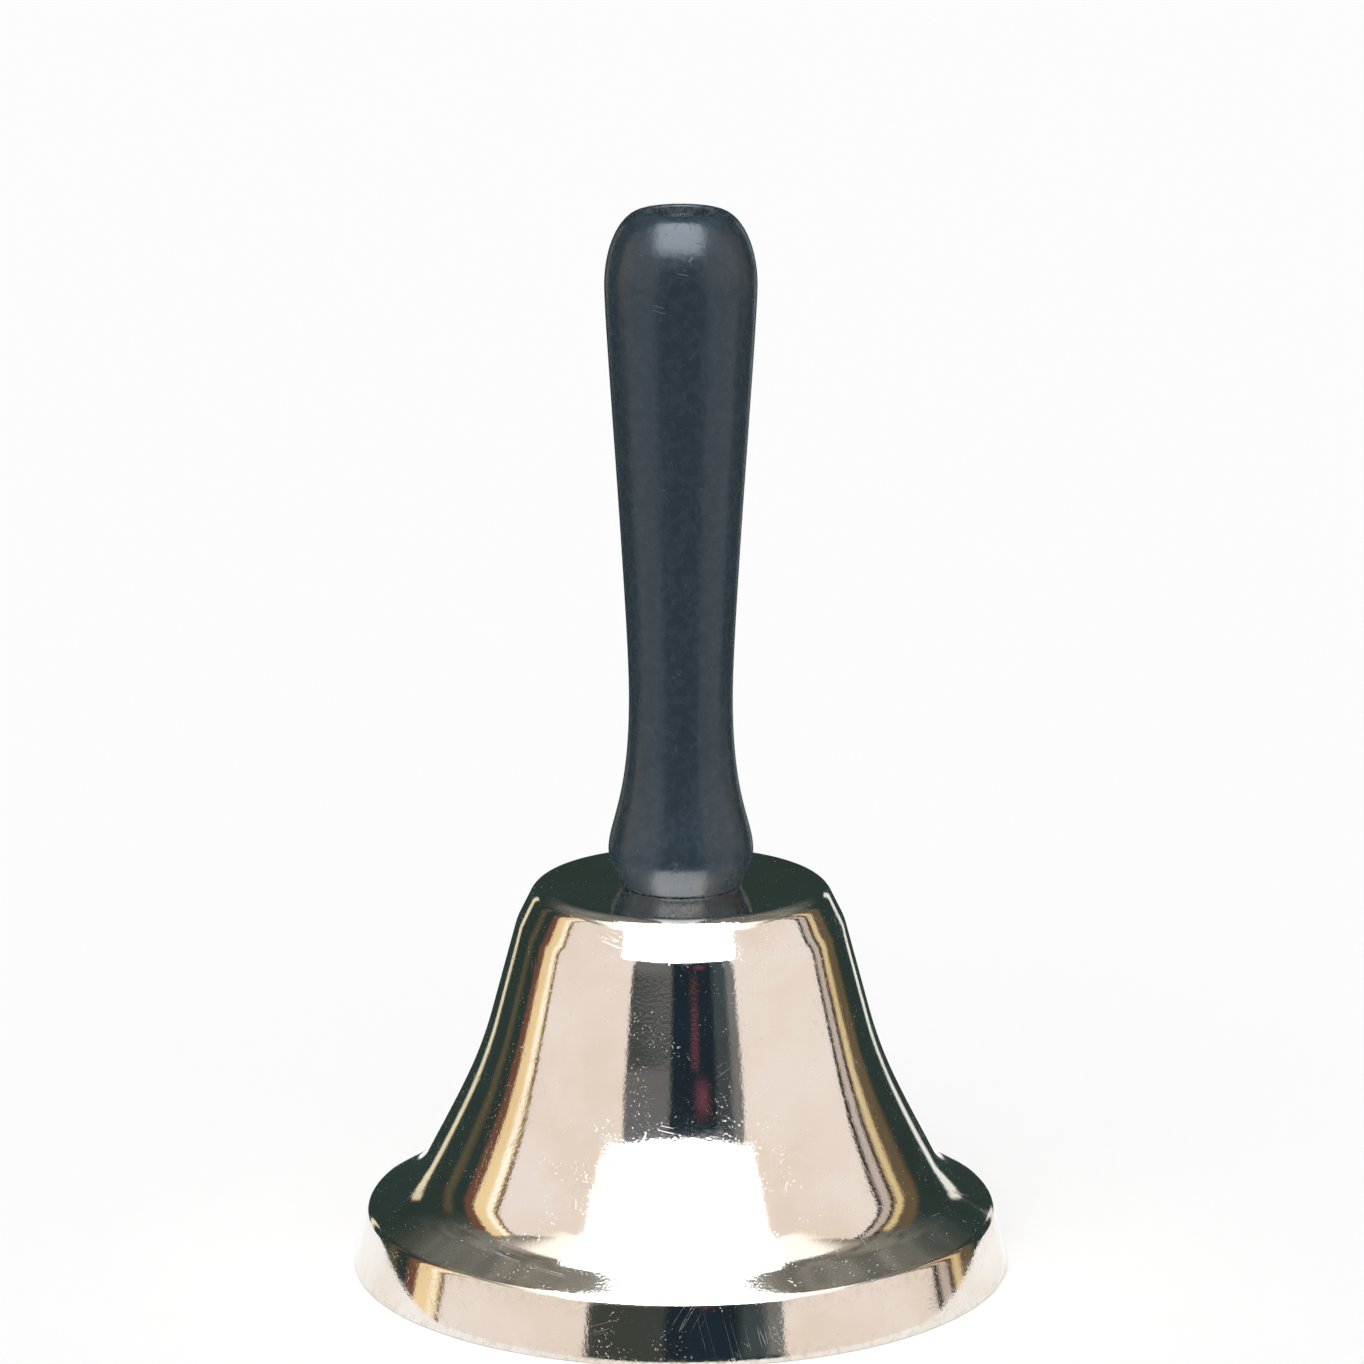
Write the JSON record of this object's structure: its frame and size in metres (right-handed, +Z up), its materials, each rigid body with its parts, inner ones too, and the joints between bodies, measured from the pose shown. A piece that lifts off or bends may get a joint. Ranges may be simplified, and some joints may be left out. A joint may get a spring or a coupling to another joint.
{
  "type": "hand bell",
  "caption": "Hand bell with a thin flared metal cup, a turned wooden grip held by a long eye bolt, and a ball clapper that swings freely inside the cup.",
  "frame": {"origin": "centre of the mouth's edge, in the plane the bell stands on", "axes": "+Z up along the bell's axis through the handle; +X across the hole of the bolt's eye's width, +Y through its hole"},
  "size_m": [0.1164, 0.1164, 0.19],
  "materials": {
    "cup_nickel": "polished nickel plate",
    "handle_wood": "satin black paint",
    "steel_hardware": "zinc plated",
    "clapper_steel": "plain"
  },
  "bodies": {
    "bell": {"bell_cup": "cup_nickel", "handle": "handle_wood", "eye_bolt": "steel_hardware", "top_nut": "steel_hardware", "top_washer": "steel_hardware", "crown_nut": "steel_hardware", "crown_washer": "steel_hardware"},
    "ring": {"hanger_ring": "clapper_steel"},
    "clapper": {"clapper_rod": "clapper_steel", "clapper_ball": "clapper_steel"}
  },
  "joints": [
    {"name": "ring_swing", "type": "hinge", "parent": "bell", "child": "ring", "pos_m": [0, 0, 0.05205], "axis": [1, 0, 0], "range_deg": [-46, 46]},
    {"name": "clapper_swing", "type": "hinge", "parent": "ring", "child": "clapper", "pos_m": [0, 0, 0.046], "axis": [0, 1, 0], "range_deg": [-15, 15]}
  ]
}
